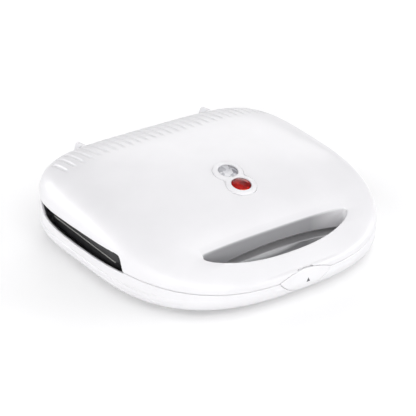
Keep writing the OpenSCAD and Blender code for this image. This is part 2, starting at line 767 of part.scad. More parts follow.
module lens() {
    rotate_extrude($fn = 64) polygon(concat(
        [[0, -3.4], [lens_r + 0.9, -3.4], [lens_r + 0.9, -2.6], [lens_r, -2.6], [lens_r, 0.9]],
        [for (i = [1:6]) let (a = i * 15) [lens_r * cos(a), 0.9 + 2 * sin(a)]]));
}
module power_lens() {
    color("red") at_lights() translate([0, -lights_pitch / 2, 0]) lens();
}
module ready_lens() {
    color("gainsboro") at_lights() translate([0, lights_pitch / 2, 0]) lens();
}
module neon_lamps() {
    color("orange") at_lights() for (side = [-1, 1])
        translate([0, side * lights_pitch / 2, -13]) {
            cylinder(r = 2.6, h = 6.4, $fn = 32);
            translate([0, 0, 6.4]) sphere(r = 2.6, $fn = 32);
        }
}
holder_screw_x = bezel_r + 1;
holder_top = -4.4;
module lamp_holder() {
    color("ivory") at_lights() difference() {
        union() {
            translate([0, 0, -13.2]) two_lights(bezel_r - 1, 9.4);
            for (side = [-1, 1]) translate([side * holder_screw_x, 0, holder_top - 1.6])
                cylinder(r = 3.2, h = 1.6, $fn = 32);
            translate([-holder_screw_x, -3, holder_top - 1.6]) cube([2 * holder_screw_x, 6, 1]);
        }
        for (side = [-1, 1]) translate([0, side * lights_pitch / 2, -11.2])
            cylinder(r = lens_r + 1.2, h = 12, $fn = 48);
        for (side = [-1, 1]) translate([0, side * lights_pitch / 2, -14.2])
            cylinder(r = 2.6 + 0.1, h = 12, $fn = 32);
        for (side = [-1, 1]) translate([side * holder_screw_x, 0, -13.2])
            cylinder(r = 1.3, h = 20, $fn = 24);
    }
}
module lamp_holder_screws() {
    color("silver") at_lights() for (side = [-1, 1])
        translate([side * holder_screw_x, 0, holder_top - 3.1]) {
            cylinder(r = 2.2, h = 1.4, $fn = 24);
            cylinder(r = 1.1, h = 6, $fn = 24);
        }
}

// Underside of the handle
cover_top_z = part_z + 2.2;
cover_screw_x = body_w / 2 - 39;
cover_screw_y = 29 - front_reach;
cover_screw_at = [[-cover_screw_x, cover_screw_y], [cover_screw_x, cover_screw_y]];
cover_head_r = 2.3;
module handle_cover() {
    color("white") difference() {
        intersection() {
            plan_stack([[wall + 3 * seat, part_z + 0.2], [wall + 3 * seat, cover_top_z]]);
            translate([-body_w / 2, -front_reach, part_z - 1])
                cube([body_w, front_reach + grip_back_y - 1, 10]);
        }
        translate([0, 0, part_z - 1]) linear_extrude(height = 10) grip_plan(wall + seat);
        latch_prism(part_gap, -front_reach - 5, latch_well_y);
        latch_slot(latch_well_y - 1);
        for (p = cover_screw_at) translate([p[0], p[1], part_z - 1]) {
            cylinder(r = 1.3, h = 6, $fn = 24);
            cylinder(r = cover_head_r + 0.2, h = 2.4, $fn = 32);
        }
    }
}
module handle_cover_screws() {
    color("silver") for (p = cover_screw_at) translate([p[0], p[1], part_z + 0.3]) {
        cylinder(r = cover_head_r, h = 1, $fn = 24);
        cylinder(r = 1.1, h = 8, $fn = 24);
    }
}

// Press latch: a button in the front that slides in, with a hook behind it
latch_travel = 1.6;
latch_back_y = -front_reach + 3.8;
latch_well_y = latch_back_y + latch_travel + 0.2;
latch_catch_y = latch_well_y + 1.8;
hook_w = 14;
hook_t = 2;
hook_nose = 1;
stem_z = part_z + 0.4;
module latch_slot(from_y) {
    to_y = latch_catch_y + seat + hook_nose + hook_t + latch_travel + seat;
    translate([-hook_w / 2 - 1.2, from_y, part_z - 6.5])
        cube([hook_w + 2.4, to_y - from_y, 11]);
}
module latch_button() {
    color("white") resize([2 * latch_half_w, 0, 0]) difference() {
        intersection() {
            outer_solid();
            latch_prism(0, -front_reach - 5, -front_reach + 5);
        }
        difference() {
            translate([0, 2.4, -1.6]) outer_solid();
            translate([-hook_w / 2, -front_reach, stem_z - 1]) cube([hook_w, 10, hook_t + 2]);
        }
        translate([-50, latch_back_y, 0]) cube([100, 20, 60]);
    }
}
module latch_hook() {
    front_y = latch_catch_y + seat;
    color("white") translate([-hook_w / 2, 0, 0]) {
        translate([0, latch_back_y + 0.1, stem_z])
            cube([hook_w, front_y + hook_nose + hook_t - latch_back_y - 0.1, hook_t]);
        translate([0, front_y + hook_nose, part_z - 6.1])
            cube([hook_w, hook_t, 6.1 + stem_z - part_z + hook_t]);
        translate([0, front_y, part_z - 6.1])
            cube([hook_w, hook_nose + hook_t, deck_z - wall - seat - part_z + 6.1]);
    }
}

base_shell();
lower_plate();
lower_heating_element();
lower_element_insulators();
lower_element_clips();
lower_heat_shield();
lower_plate_screws();
thermostat();
thermal_fuse();
terminal_block();
terminal_block_screws();
lead_gland();
feet();
hinge_pins();
base_wires();
lid_shell();
upper_plate();
upper_heating_element();
upper_element_insulators();
upper_element_clips();
upper_heat_shield();
upper_plate_screws();
light_bezel();
power_lens();
ready_lens();
neon_lamps();
lamp_holder();
lamp_holder_screws();
handle_cover();
handle_cover_screws();
hinge_arms();
hinge_arm_screws();
lid_wires();
latch_button();
latch_hook();
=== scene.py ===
import math

import bmesh
import bpy
import numpy as np
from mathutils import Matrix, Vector


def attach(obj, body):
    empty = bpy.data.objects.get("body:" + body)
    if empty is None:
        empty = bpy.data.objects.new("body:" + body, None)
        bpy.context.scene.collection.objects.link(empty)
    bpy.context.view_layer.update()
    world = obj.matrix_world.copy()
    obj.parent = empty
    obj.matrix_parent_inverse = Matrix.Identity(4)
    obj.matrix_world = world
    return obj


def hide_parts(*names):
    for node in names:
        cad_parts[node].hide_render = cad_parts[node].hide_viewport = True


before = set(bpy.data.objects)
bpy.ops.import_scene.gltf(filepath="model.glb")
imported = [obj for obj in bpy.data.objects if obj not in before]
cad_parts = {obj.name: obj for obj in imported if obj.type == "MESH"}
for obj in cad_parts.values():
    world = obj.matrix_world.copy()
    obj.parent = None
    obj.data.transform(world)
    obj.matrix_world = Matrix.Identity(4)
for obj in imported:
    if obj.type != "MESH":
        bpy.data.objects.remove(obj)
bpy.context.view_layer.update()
scene = bpy.context.scene

# ---------------------------------------------------------------- camera
TURN, LIFT = 0.613476, 0.478802
TARGET = Vector((-0.007474, 0.000400, 0.030))
DISTANCE = 1.17098
away = Vector((-math.sin(TURN) * math.cos(LIFT), -math.cos(TURN) * math.cos(LIFT),
               math.sin(LIFT)))
cam_data = bpy.data.cameras.new("camera")
cam_data.lens = 125.957
cam_data.sensor_width = 36.0
cam_data.clip_start = 0.05
cam_data.clip_end = 60.0
cam = bpy.data.objects.new("camera", cam_data)
cam.location = TARGET + away * DISTANCE
cam.rotation_euler = (-away).to_track_quat("-Z", "Y").to_euler()
scene.collection.objects.link(cam)
scene.camera = cam

# ---------------------------------------------------------------- sizes, in mm
# the plan outline, the line where lid and base part, and the top of the lid
BODY_W, FRONT, BACK = 242.0, 117.0, 114.0
PLAN_C, PLAN_B, PLAN_A = (BACK - FRONT) / 2, (BACK + FRONT) / 2, BODY_W / 2 + 0.5
FRONT_ROUND, BACK_ROUND, TAPER, WIDEST_Y = 2.7, 4.7, 0.02, 50.0
WALL, PART_Z, PART_RISE, PART_RUN, PART_GAP = 2.4, 20.5, 7.0, 82.0, 0.4
DOME_Z, DOME_H, BAR_H, TILT = 23.0, 46.5, 9.0, 0.16
SLOPE_LOW, SLOPE_HIGH, SLOPE_POWER = -113.5, 7.5, 0.88
SHOULDER_P, SHOULDER_Q = 2.2, 4.8
# the flank of the base
FOOT_H, FLANK_H, FLANK_IN, FLANK_POWER = 4.5, 12.5, 16.0, 2.25
FLANK_LINES, LINE_HALF, LINE_DEEP = (12.4, 17.3), 0.5, 0.4
# the finger opening, the dip behind it, the arch under its back wall and the recess below it
GRIP_W, GRIP_BACK, GRIP_D, RECESS = 69.5, -78.5, 21.5, 11.0
GRIP_DIP, GRIP_DIP_W = 2.0, 18.0
ARCH_W, ARCH_LOW, ARCH_TALL, ARCH_Y, ARCH_HALF = 62.5, 2.6, 6.5, 0.7, 2.7
DECK_Z, DECK_BACK = 20.1, -47.5
# vent grooves
GROOVES, PITCH, GROOVE_W, GROOVE_DEEP, GROOVE_FRONT, GROOVE_LEVEL = 27, 7.6, 3.0, 0.9, 63.0, 0.92
# side gaps
GAP_LOW, GAP_HIGH, GAP_SAG, GAP_LEAN, GAP_Y0, GAP_Y1 = 26.2, 38.3, 2.4, 1.2, -44.0, 79.0
GAP_X = 100.0
# the latch, its opening, and the slot for its hook
LATCH_W, LATCH_UP, LATCH_DOWN = 24.0, 5.7, 12.0
LATCH_SEAM, LATCH_BACK, OPENING_BACK = 0.2, 113.05, 111.4
SLOT_X, SLOT_Y, SLOT_YH, SLOT_ZH = 8.2, 107.0, 4.6, 5.5
# the lights
LIGHTS_Y, LIGHTS_PITCH, LENS_R, BEZEL_R = -25.0, 18.25, 7.8, 12.4
BEZEL_TOP, BEZEL_FALL, BEZEL_SLOPE, BEZEL_FOOT, BEZEL_SEAM = 1.2, 1.15, 3.6, 2.2, 0.06
# hinges, with the ears beside each arm and the sunk head of each pin
HINGE_Y, HINGE_Z, HINGE_X, PIN_R, PIN_GAP = 114.9, 17.5, 63.0, 2.5, 0.1
EAR_X, EAR_HALF, EAR_R, ARM_HALF, ARM_R = 4.9, 2.0, 2.1, 2.9, 3.1
HEAD_R, HEAD_X, HEAD_HALF = 1.3, 8.9, 2.0
# screw posts, feet and the hole for the lead gland
PLATE_Z, PLATE_Y, PLATE_D, TUB_H = 27.5, 18.0, 125.0, 10.4
POST_R, POST_BORE, POST_DEEP = 4.5, 1.6, 12
COVER_POST_R, COVER_BORE, COVER_FROM, COVER_TO = 3.6, 1.3, 2.5, 9.2
SCREW_HEAD_R, SCREW_HEAD_Z, SCREW_R = 3.4, 8.5, 1.7
PEG_R, PEG_TOP = 2.8, 12
LEAD_Z, LEAD_R, LEAD_FROM, FLANGE_R, FLANGE_Y, FLANGE_HALF = 14.2, 5.8, 99, 6.6, 103.5, 5.0
SLICE_X = (100 + 8 + 1) / 2
LOW_TUB_Z = PLATE_Z - 0.2 - TUB_H
HIGH_TUB_Z = 2 * PLATE_Z - LOW_TUB_Z
SCREWS = [(-SLICE_X, PLATE_Y), (SLICE_X, PLATE_Y), (0.0, PLATE_Y + PLATE_D / 2 - 14)]
COVER_SCREWS = [(-82.0, -88.0), (82.0, -88.0)]
FEET = [(-86, -64), (86, -64), (-90, 84), (90, 84)]


def outline(angle):
    """Plan outline at an angle around its middle."""
    c, s = np.cos(angle), np.sin(angle)
    n = np.where(s < 0, FRONT_ROUND, BACK_ROUND)
    r = ((np.abs(c) / PLAN_A) ** n + (np.abs(s) / PLAN_B) ** n) ** (-1 / n)
    y = r * s + PLAN_C
    return r * c * (1 + TAPER * (y - WIDEST_Y) / PLAN_A), y


X_SCALE = BODY_W / 2 / outline(np.linspace(-1.6, 1.6, 4001))[0].max()


def level(x, y):
    """Share of the way from the middle to the plan outline, and distance from the middle."""
    v = x / X_SCALE / (1 + TAPER * (y - WIDEST_Y) / PLAN_A)
    n = np.where(y < PLAN_C, FRONT_ROUND, BACK_ROUND)
    share = ((np.abs(v) / PLAN_A) ** n + (np.abs(y - PLAN_C) / PLAN_B) ** n) ** (1 / n)
    return np.maximum(share, 1e-4), np.hypot(v, y - PLAN_C)


def rise(y):
    """Height of the lid's top over DOME_Z, from the bar in front to the back."""
    u = np.clip((y - SLOPE_LOW) / (SLOPE_HIGH - SLOPE_LOW), 0, 1)
    return (BAR_H + (DOME_H - BAR_H) * np.sin(math.pi / 2 * u ** SLOPE_POWER)) * (
        1 + TILT * (y - PLAN_C) / PLAN_B)


def part_h(y):
    """Height of the line where lid and base part."""
    return PART_Z + PART_RISE * np.sin(math.pi / 2 * np.clip((y + FRONT - 4) / PART_RUN, 0, 1))


def lid_z(x, y):
    share = level(np.asarray(x, float), np.asarray(y, float))[0]
    return DOME_Z + rise(y) * (1 - np.minimum(1, share) ** SHOULDER_P) ** (1 / SHOULDER_Q)


# ---------------------------------------------------------------- solids as fields, negative inside
def smax(a, b, k):
    """The larger of two fields, with the edge between them rounded over k."""
    h = np.maximum(k - np.abs(a - b), 0) / k
    return np.maximum(a, b) + h * h * k * 0.25


def smin(a, b, k):
    return -smax(-a, -b, k)


def scaled(raw, x, y, z, step=0.05):
    """raw divided by the length of its gradient, which is nearly a distance at the surface."""
    f = raw(x, y, z)
    gx = (raw(x + step, y, z) - f) / step
    gy = (raw(x, y + step, z) - f) / step
    gz = (raw(x, y, z + step) - f) / step
    return f / np.maximum(np.sqrt(gx * gx + gy * gy + gz * gz), 1e-3)


def dome_raw(x, y, z):
    share, _ = level(x, y)
    return share ** SHOULDER_P + (np.maximum(z - DOME_Z, 0) / rise(y)) ** SHOULDER_Q - 1


def flank_raw(x, y, z):
    share, r = level(x, y)
    inset = r / share - r
    low = np.maximum(1 - (z - FOOT_H) / FLANK_H, 0)
    return np.maximum(1 - inset / FLANK_IN, 0) ** 3 + low ** FLANK_POWER - 1


def dome(x, y, z):
    return scaled(dome_raw, x, y, z)


def flank(x, y, z):
    return scaled(flank_raw, x, y, z)


def grip(x, y):
    """Finger opening, from above."""
    u, v = np.abs(x) / GRIP_W, np.maximum(GRIP_BACK - y, 0) / GRIP_D
    g = u ** 2.3 + v ** (1 / 0.6) - 1
    gx = 2.3 * u ** 1.3 / GRIP_W
    gy = v ** (1 / 0.6 - 1) / 0.6 / GRIP_D
    front = g / np.maximum(np.hypot(gx, gy), 0.012)
    return smax(front, y - GRIP_BACK, 4.5)


def lens_face(x, z):
    """Outline of the latch from the front: two arcs that meet at its sides."""
    up = (LATCH_W ** 2 + LATCH_UP ** 2) / (2 * LATCH_UP)
    down = (LATCH_W ** 2 + LATCH_DOWN ** 2) / (2 * LATCH_DOWN)
    return np.maximum(np.hypot(x, z - (PART_Z + LATCH_UP - up)) - up,
                      np.hypot(x, z - (PART_Z + down - LATCH_DOWN)) - down)


def latch_opening(x, y, z):
    return np.maximum(lens_face(x, z) - LATCH_SEAM, y + OPENING_BACK)


def gap_edges(y):
    """Heights of the upper and lower edge of the side gap."""
    u = np.clip((y - GAP_Y0) / (GAP_Y1 - GAP_Y0), 0, 1)
    top = GAP_HIGH + GAP_LEAN * np.cos(math.pi * u)
    low = (GAP_LOW - GAP_SAG * np.sin(math.pi * u ** 1.15)
           + (GAP_HIGH - GAP_LEAN - GAP_LOW) * u ** 20)
    return top, low


def side_gap(x, y, z):
    top, low = gap_edges(y)
    (top_a, low_a), (top_b, low_b) = gap_edges(y - 0.2), gap_edges(y + 0.2)
    over = (z - top) / np.sqrt(1 + ((top_b - top_a) / 0.4) ** 2)
    under = (low - z) / np.sqrt(1 + ((low_b - low_a) / 0.4) ** 2)
    tip = (GAP_Y0 - y) * 0.951 + (z - GAP_LOW) * 0.309
    g = smax(smax(over, tip, 4.5), under, 0.4)
    g = np.maximum(g, y - GAP_Y1)
    return np.maximum(g, GAP_X - np.abs(x))


def tube(a, b, r):
    return np.hypot(a, b) - r


def slab(v, half):
    return np.abs(v) - half


def around_pin(y, z, more):
    return tube(y - HINGE_Y, z - HINGE_Z, PIN_R + more)


LIGHT_Z = float(lid_z(0.0, LIGHTS_Y))
LIGHT_SLOPE = math.atan2(float(lid_z(0.0, LIGHTS_Y + 5) - lid_z(0.0, LIGHTS_Y - 5)), 10)


def light_frame(x, y, z):
    """Coordinates across, along and off the slope that carries the lights."""
    c, s = math.cos(LIGHT_SLOPE), math.sin(LIGHT_SLOPE)
    v, w = y - LIGHTS_Y, z - LIGHT_Z
    return x, v * c + w * s, -v * s + w * c


def two_rounds(a, b, r, k):
    """Two joined circles around the lights."""
    half = LIGHTS_PITCH / 2
    return smin(np.hypot(a, b - half) - r, np.hypot(a, b + half) - r, k)


def grooves(x, y, skin):
    """Scoops that follow the skin over the back shoulder and fade out in front."""
    i = np.clip(np.rint(x / PITCH), -(GROOVES // 2), GROOVES // 2)
    side = slab(x - i * PITCH, GROOVE_W / 2)
    u = np.clip((y - GROOVE_FRONT + 1) / 8, 0, 1)
    floor = -skin - GROOVE_DEEP * u * u * (3 - 2 * u)
    share = (GROOVE_LEVEL ** BACK_ROUND - (np.abs(i * PITCH) / PLAN_A) ** BACK_ROUND)
    back = PLAN_C + PLAN_B * share ** (1 / BACK_ROUND)
    return smax(smax(side, floor, 1.3), np.maximum(GROOVE_FRONT - 1 - y, y - back), 1.2)


def lid_field(x, y, z):
    skin = dome(x, y, z)
    hole = grip(x, y)
    roll = np.clip((y - GRIP_BACK + 14) / 12, 0, 1)
    dip = GRIP_DIP * roll * np.clip(1 - hole / GRIP_DIP_W, 0, 1) ** 2
    outer = smax(skin + dip, -hole, 1.3)
    body = smax(outer, (part_h(y) - z) * 0.995, 0.7)
    f = smax(body, -outer - WALL, 0.5)
    posts = np.full_like(x, 1e3)
    for px, py in SCREWS:
        post, bore = tube(x - px, y - py, POST_R), tube(x - px, y - py, POST_BORE)
        posts = np.minimum(posts, np.maximum(post, HIGH_TUB_Z + 0.3 - z))
        posts = np.maximum(posts, -np.maximum(bore, z - HIGH_TUB_Z - POST_DEEP))
    for px, py in COVER_SCREWS:
        post, bore = tube(x - px, y - py, COVER_POST_R), tube(x - px, y - py, COVER_BORE)
        posts = np.minimum(posts, np.maximum(post, PART_Z + COVER_FROM - z))
        posts = np.maximum(posts, -np.maximum(bore, z - PART_Z - COVER_TO))
    f = smin(f, np.maximum(posts, skin + 1.2), 0.6)
    high = DOME_Z + ARCH_LOW + ARCH_TALL * (1 - (x / ARCH_W) ** 2)
    steep = np.sqrt(1 + (2 * ARCH_TALL * x / ARCH_W ** 2) ** 2)
    arch = smax((z - high) / steep, slab(y - (GRIP_BACK + ARCH_Y), ARCH_HALF), 0.3)
    arch = np.maximum(arch, np.abs(x) - ARCH_W)
    f = smax(f, -arch, 0.9)
    f = smax(f, -side_gap(x, y, z), 0.7)
    f = smax(f, -latch_opening(x, y, z), 0.2)
    f = smax(f, -grooves(x, y, skin), 0.6)
    a, b, c = light_frame(x, y, z)
    f = smax(f, -smax(two_rounds(a, b, BEZEL_R + BEZEL_SEAM, 3.0), -8 - c, 0.4), 0.15)
    for px in (-BEZEL_R - 1, BEZEL_R + 1):
        f = np.maximum(f, -np.maximum(tube(a - px, b, 1.3), slab(c + 5, 3.5)))
    return f


def base_field(x, y, z):
    skin = flank(x, y, z)
    rim = part_h(y) - PART_GAP
    body = smax(skin, (z - rim) * 0.995, 0.7)
    bowl_y, bowl_z = GRIP_BACK - GRIP_D / 2 + 2, DECK_Z + 0.9

    def bowl(grow):
        """The recess for the fingers, or the shell around it."""
        rx, ry, rz = GRIP_W + 2 + grow, GRIP_D / 2 + 5 + grow, RECESS + grow
        return scaled(lambda a, b, c: (a / rx) ** 2 + ((b - bowl_y) / ry) ** 2
                      + ((c - bowl_z) / rz) ** 2 - 1, x, y, z)

    deck = smin(slab(z - DECK_Z + WALL / 2, WALL / 2), smax(bowl(WALL), z - DECK_Z, 0.4), 1.0)
    deck = np.maximum(deck, y - DECK_BACK)
    inner = smax(skin + WALL, -deck, 0.6)
    inner = np.maximum(inner, FOOT_H + WALL - z)
    f = smax(body, -inner, 0.5)
    for px, py in SCREWS:
        post = tube(x - px, y - py, POST_R)
        f = np.minimum(f, np.maximum(post, np.abs(z - 11) - (LOW_TUB_Z - 11.3)))
    for side in (-1, 1):
        for ear in (-1, 1):
            at = side * HINGE_X + ear * EAR_X
            foot = np.maximum(slab(z - HINGE_Z, PIN_R + EAR_R), slab(y - HINGE_Y + 3.8, 3.8))
            disc = np.minimum(around_pin(y, z, EAR_R), foot)
            f = smin(f, smax(disc, slab(x - at, EAR_HALF), 0.4), 0.4)
    f = smax(f, -bowl(0), 1.2)
    deep = LINE_DEEP * np.clip((y + 100) / 30, 0, 1)
    for height in FLANK_LINES:
        f = smax(f, -smax(slab(z - height, LINE_HALF), -skin - deep, 0.3), 0.4)
    f = smax(f, -side_gap(x, y, z), 0.5)
    f = smax(f, -latch_opening(x, y, z), 0.2)
    slot = np.maximum(slab(y + SLOT_Y, SLOT_YH), slab(z - PART_Z + 1, SLOT_ZH))
    f = smax(f, -np.maximum(np.abs(x) - SLOT_X, slot), 0.4)
    for side in (-1, 1):
        arm_room = np.maximum(around_pin(y, z, ARM_R), slab(x - side * HINGE_X, ARM_HALF))
        f = smax(f, -arm_room, 0.3)
        bore = np.maximum(around_pin(y, z, PIN_GAP), slab(x - side * HINGE_X, 7.4))
        f = smax(f, -bore, 0.2)
        head = slab(x - side * (HINGE_X - HEAD_X), HEAD_HALF)
        f = smax(f, -np.maximum(around_pin(y, z, HEAD_R), head), 0.2)
    for px, py in SCREWS:
        head, bore = tube(x - px, y - py, SCREW_HEAD_R), tube(x - px, y - py, SCREW_R)
        f = smax(f, -np.maximum(head, z - SCREW_HEAD_Z), 0.4)
        f = np.maximum(f, -np.maximum(bore, z - LOW_TUB_Z - 1))
    lead, flange = tube(x, z - LEAD_Z, LEAD_R), tube(x, z - LEAD_Z, FLANGE_R)
    f = smax(f, -np.maximum(lead, LEAD_FROM - y), 0.4)
    f = smax(f, -np.maximum(flange, slab(y - FLANGE_Y, FLANGE_HALF)), 0.3)
    for px, py in FEET:
        f = np.maximum(f, -np.maximum(tube(x - px, y - py, PEG_R), z - PEG_TOP))
    return f


def latch_field(x, y, z):
    skin = np.maximum(dome(x, y, z), flank(x, y, z))
    f = smax(skin, lens_face(x, z), 0.3)
    back = np.maximum(skin + WALL, 1.0 - np.maximum(np.abs(x) - 7.0, slab(z - 21.9, 2.0)))
    f = smax(f, -back, 0.3)
    return smax(f, y + LATCH_BACK, 0.2)


def bezel_field(x, y, z):
    a, b, c = light_frame(x, y, z)
    edge = two_rounds(a, b, BEZEL_R, 3.0)
    fall = BEZEL_FALL * np.clip((edge + BEZEL_SLOPE) / BEZEL_SLOPE, 0, 1) ** 1.5
    f = smax(edge, c - BEZEL_TOP + fall, 0.2)
    f = smax(f, -BEZEL_FOOT - c, 0.4)
    return smax(f, -two_rounds(a, b, LENS_R + 0.15, 0.2), 1.1)


# ---------------------------------------------------------------- meshes from fields
def sample(field, x, y, z, chunk=400_000):
    out = np.empty(len(x))
    for i in range(0, len(x), chunk):
        out[i:i + chunk] = field(x[i:i + chunk], y[i:i + chunk], z[i:i + chunk])
    return out


def gradient(field, p, step=0.03):
    f = sample(field, p[:, 0], p[:, 1], p[:, 2])
    g = np.empty_like(p)
    for axis in range(3):
        q, r = p.copy(), p.copy()
        q[:, axis] += step
        r[:, axis] -= step
        g[:, axis] = (sample(field, *q.T) - sample(field, *r.T)) / (2 * step)
    return f, g


def settle(field, p, reach, rounds=2):
    """Moves points on to the surface and returns them with its normals."""
    for _ in range(rounds):
        f, g = gradient(field, p)
        size = np.maximum((g * g).sum(1), 0.05)
        move = g * (f / size)[:, None]
        far = np.linalg.norm(move, axis=1)
        move *= np.minimum(1, reach / np.maximum(far, 1e-9))[:, None]
        p = p - move
    _, g = gradient(field, p)
    return p, g / np.maximum(np.linalg.norm(g, axis=1), 1e-9)[:, None]


def grid_values(field, lo, hi, step):
    """The field on a grid, worked out closely only in blocks near the surface."""
    size = 8
    counts = [int(math.ceil((b - a) / step / size)) for a, b in zip(lo, hi)]
    axes = [a + step * (size * np.arange(n) + (size - 1) / 2) for a, n in zip(lo, counts)]
    mid = np.stack(np.meshgrid(*axes, indexing="ij"), -1).reshape(-1, 3)
    rough = sample(field, *mid.T)
    near = np.abs(rough) < 1.45 * step * size
    out = np.repeat(np.repeat(np.repeat(np.sign(rough).reshape(counts), size, 0), size, 1), size, 2)
    out = out * 9.0
    blocks = np.stack(np.unravel_index(np.nonzero(near)[0], counts), -1) * size
    cell = np.stack(np.meshgrid(*[np.arange(size)] * 3, indexing="ij"), -1).reshape(-1, 3)
    index = (blocks[:, None, :] + cell[None]).reshape(-1, 3)
    p = np.array(lo) + index * step
    out[index[:, 0], index[:, 1], index[:, 2]] = sample(field, *p.T)
    return out


def surface_net(f, lo, step):
    """One point in each cell that the surface crosses, and a face around each crossed edge."""
    inside = f < 0
    count = np.zeros(tuple(n - 1 for n in f.shape), np.int8)
    corners = [(i, j, k) for i in (0, 1) for j in (0, 1) for k in (0, 1)]
    nx, ny, nz = count.shape
    for i, j, k in corners:
        count += inside[i:nx + i, j:ny + j, k:nz + k]
    active = (count > 0) & (count < 8)
    cells = np.stack(np.nonzero(active), -1)
    number = np.full(count.shape, -1, np.int64)
    number[active] = np.arange(len(cells))
    total, hits = np.zeros((len(cells), 3)), np.zeros(len(cells))
    for a in corners:
        for axis in range(3):
            if a[axis]:
                continue
            b = tuple(1 if n == axis else a[n] for n in range(3))
            fa = f[tuple((cells + a).T)]
            fb = f[tuple((cells + b).T)]
            cross = (fa < 0) != (fb < 0)
            t = fa[cross] / (fa[cross] - fb[cross])
            point = np.array(a, float) + t[:, None] * (np.array(b) - np.array(a))
            total[cross] += point
            hits[cross] += 1
    points = np.array(lo) + (cells + total / hits[:, None]) * step
    quads = []
    for axis in range(3):
        u, v = (axis + 1) % 3, (axis + 2) % 3
        first = [slice(None)] * 3
        second = [slice(None)] * 3
        first[axis], second[axis] = slice(None, -1), slice(1, None)
        cross = inside[tuple(first)] != inside[tuple(second)]
        at = np.stack(np.nonzero(cross), -1)
        at = at[(at[:, u] > 0) & (at[:, v] > 0) & (at[:, u] < count.shape[u])
                & (at[:, v] < count.shape[v])]
        du, dv = np.zeros(3, int), np.zeros(3, int)
        du[u], dv[v] = 1, 1
        ring = [number[tuple((at - d).T)] for d in (0 * du, du, du + dv, dv)]
        quad = np.stack(ring, -1)
        flip = inside[tuple(at.T)]
        quad[flip] = quad[flip][:, ::-1]
        quads.append(quad[:, ::-1])
    return points, np.concatenate(quads)


def mesh_object(name, points, faces, normals=None):
    mesh = bpy.data.meshes.new(name)
    mesh.vertices.add(len(points))
    mesh.vertices.foreach_set("co", np.asarray(points, np.float32).ravel())
    sides = faces.shape[1]
    mesh.loops.add(len(faces) * sides)
    mesh.loops.foreach_set("vertex_index", faces.astype(np.int32).ravel())
    mesh.polygons.add(len(faces))
    mesh.polygons.foreach_set("loop_start", np.arange(0, len(faces) * sides, sides, dtype=np.int32))
    mesh.update(calc_edges=True)
    mesh.validate()
    obj = bpy.data.objects.new(name, mesh)
    scene.collection.objects.link(obj)
    if normals is not None:
        mesh.shade_smooth()
        mesh.normals_split_custom_set_from_vertices(normals)
    return obj


def from_field(name, field, lo, hi, step, keep=1.0):
    """A mesh of the field's surface, in metres, thinned to the share keep of its faces."""
    values = grid_values(field, lo, hi, step)
    points, quads = surface_net(values, lo, step)
    points, normals = settle(field, points, step * 0.6, 2)
    if keep < 1:
        rough = mesh_object(name + "_rough", points / 1000, quads)
        thin = rough.modifiers.new("thin", "DECIMATE")
        thin.ratio = keep
        graph = bpy.context.evaluated_depsgraph_get()
        done = bpy.data.meshes.new_from_object(rough.evaluated_get(graph))
        n = len(done.vertices)
        co = np.empty(n * 3, np.float32)
        done.vertices.foreach_get("co", co)
        done.calc_loop_triangles()
        tris = np.empty(len(done.loop_triangles) * 3, np.int32)
        done.loop_triangles.foreach_get("vertices", tris)
        bpy.data.objects.remove(rough)
        bpy.data.meshes.remove(done)
        points, normals = settle(field, co.reshape(-1, 3).astype(float) * 1000, step * 0.3, 1)
        quads = tris.reshape(-1, 3)
    return mesh_object(name, points / 1000, quads, normals)


# ---------------------------------------------------------------- materials
def node_material(name):
    mat = bpy.data.materials.new(name)
    mat.use_nodes = True
    nodes, links = mat.node_tree.nodes, mat.node_tree.links
    return mat, nodes, links, nodes["Principled BSDF"]


def noise(nodes, links, coord, scale, detail=3.0, rough=0.55):
    n = nodes.new("ShaderNodeTexNoise")
    n.inputs["Scale"].default_value = scale
    n.inputs["Detail"].default_value = detail
    n.inputs["Roughness"].default_value = rough
    links.new(coord, n.inputs["Vector"])
    return n


def ramp(nodes, links, source, stops):
    r = nodes.new("ShaderNodeValToRGB")
    while len(r.color_ramp.elements) < len(stops):
        r.color_ramp.elements.new(0.5)
    for e, (at, colour) in zip(r.color_ramp.elements, stops):
        e.position = at
        e.color = (*colour, 1.0) if len(colour) == 3 else (colour[0],) * 3 + (1.0,)
    links.new(source, r.inputs["Fac"])
    return r


def to_range(nodes, links, source, low, high, start=0.0, end=1.0):
    """Turns start to end into low to high."""
    m = nodes.new("ShaderNodeMapRange")
    m.inputs["From Min"].default_value = start
    m.inputs["From Max"].default_value = end
    m.inputs["To Min"].default_value = low
    m.inputs["To Max"].default_value = high
    links.new(source, m.inputs["Value"])
    return m


def finish_of(name, dark, light, rough, spots=400.0, bump=0.02, depth=0.0002, metallic=0.0,
              coat=0.0, patches=35.0, stretch=None, spec=0.5):
    """A moulded or metal finish: slight colour patches, uneven gloss and a fine surface bump."""
    mat, nodes, links, shader = node_material(name)
    coords = nodes.new("ShaderNodeTexCoord")
    place = coords.outputs["Object"]
    if stretch:
        m = nodes.new("ShaderNodeMapping")
        m.inputs["Scale"].default_value = stretch
        links.new(place, m.inputs["Vector"])
        place = m.outputs["Vector"]
    wide = noise(nodes, links, place, patches, 4.0)
    fine = noise(nodes, links, place, spots, 2.0)
    colour = ramp(nodes, links, wide.outputs["Fac"], [(0.3, dark), (0.7, light)])
    links.new(colour.outputs["Color"], shader.inputs["Base Color"])
    gloss = to_range(nodes, links, wide.outputs["Fac"], rough[0], rough[1])
    links.new(gloss.outputs["Result"], shader.inputs["Roughness"])
    b = nodes.new("ShaderNodeBump")
    b.inputs["Strength"].default_value = bump
    b.inputs["Distance"].default_value = depth
    links.new(fine.outputs["Fac"], b.inputs["Height"])
    links.new(b.outputs["Normal"], shader.inputs["Normal"])
    shader.inputs["Metallic"].default_value = metallic
    shader.inputs["Coat Weight"].default_value = coat
    shader.inputs["Coat Roughness"].default_value = 0.12
    shader.inputs["Specular IOR Level"].default_value = spec
    return mat


